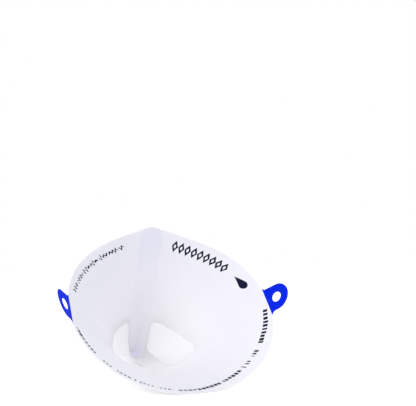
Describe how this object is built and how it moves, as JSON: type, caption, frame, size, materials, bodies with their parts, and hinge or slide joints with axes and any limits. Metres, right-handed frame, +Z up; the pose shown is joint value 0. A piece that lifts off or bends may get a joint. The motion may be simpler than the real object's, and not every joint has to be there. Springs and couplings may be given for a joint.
{
  "type": "paper cone strainer",
  "caption": "Throwaway paper cone paint strainer with lapped seam, white gauze windows near its closed point and a blue hanging ear on each side.",
  "frame": {"origin": "centre of the footprint of the bounding box, at the height of the surface it lies on", "axes": "+Z up, +Y from the open mouth towards the closed point, +X to the right seen from the mouth"},
  "size_m": [0.1692, 0.1758, 0.113],
  "materials": {
    "printed_paper": "matte",
    "white_gauze": "matte"
  },
  "bodies": {
    "root": {"paper_cone": "printed_paper", "filter_gauze": "white_gauze"}
  },
  "joints": []
}
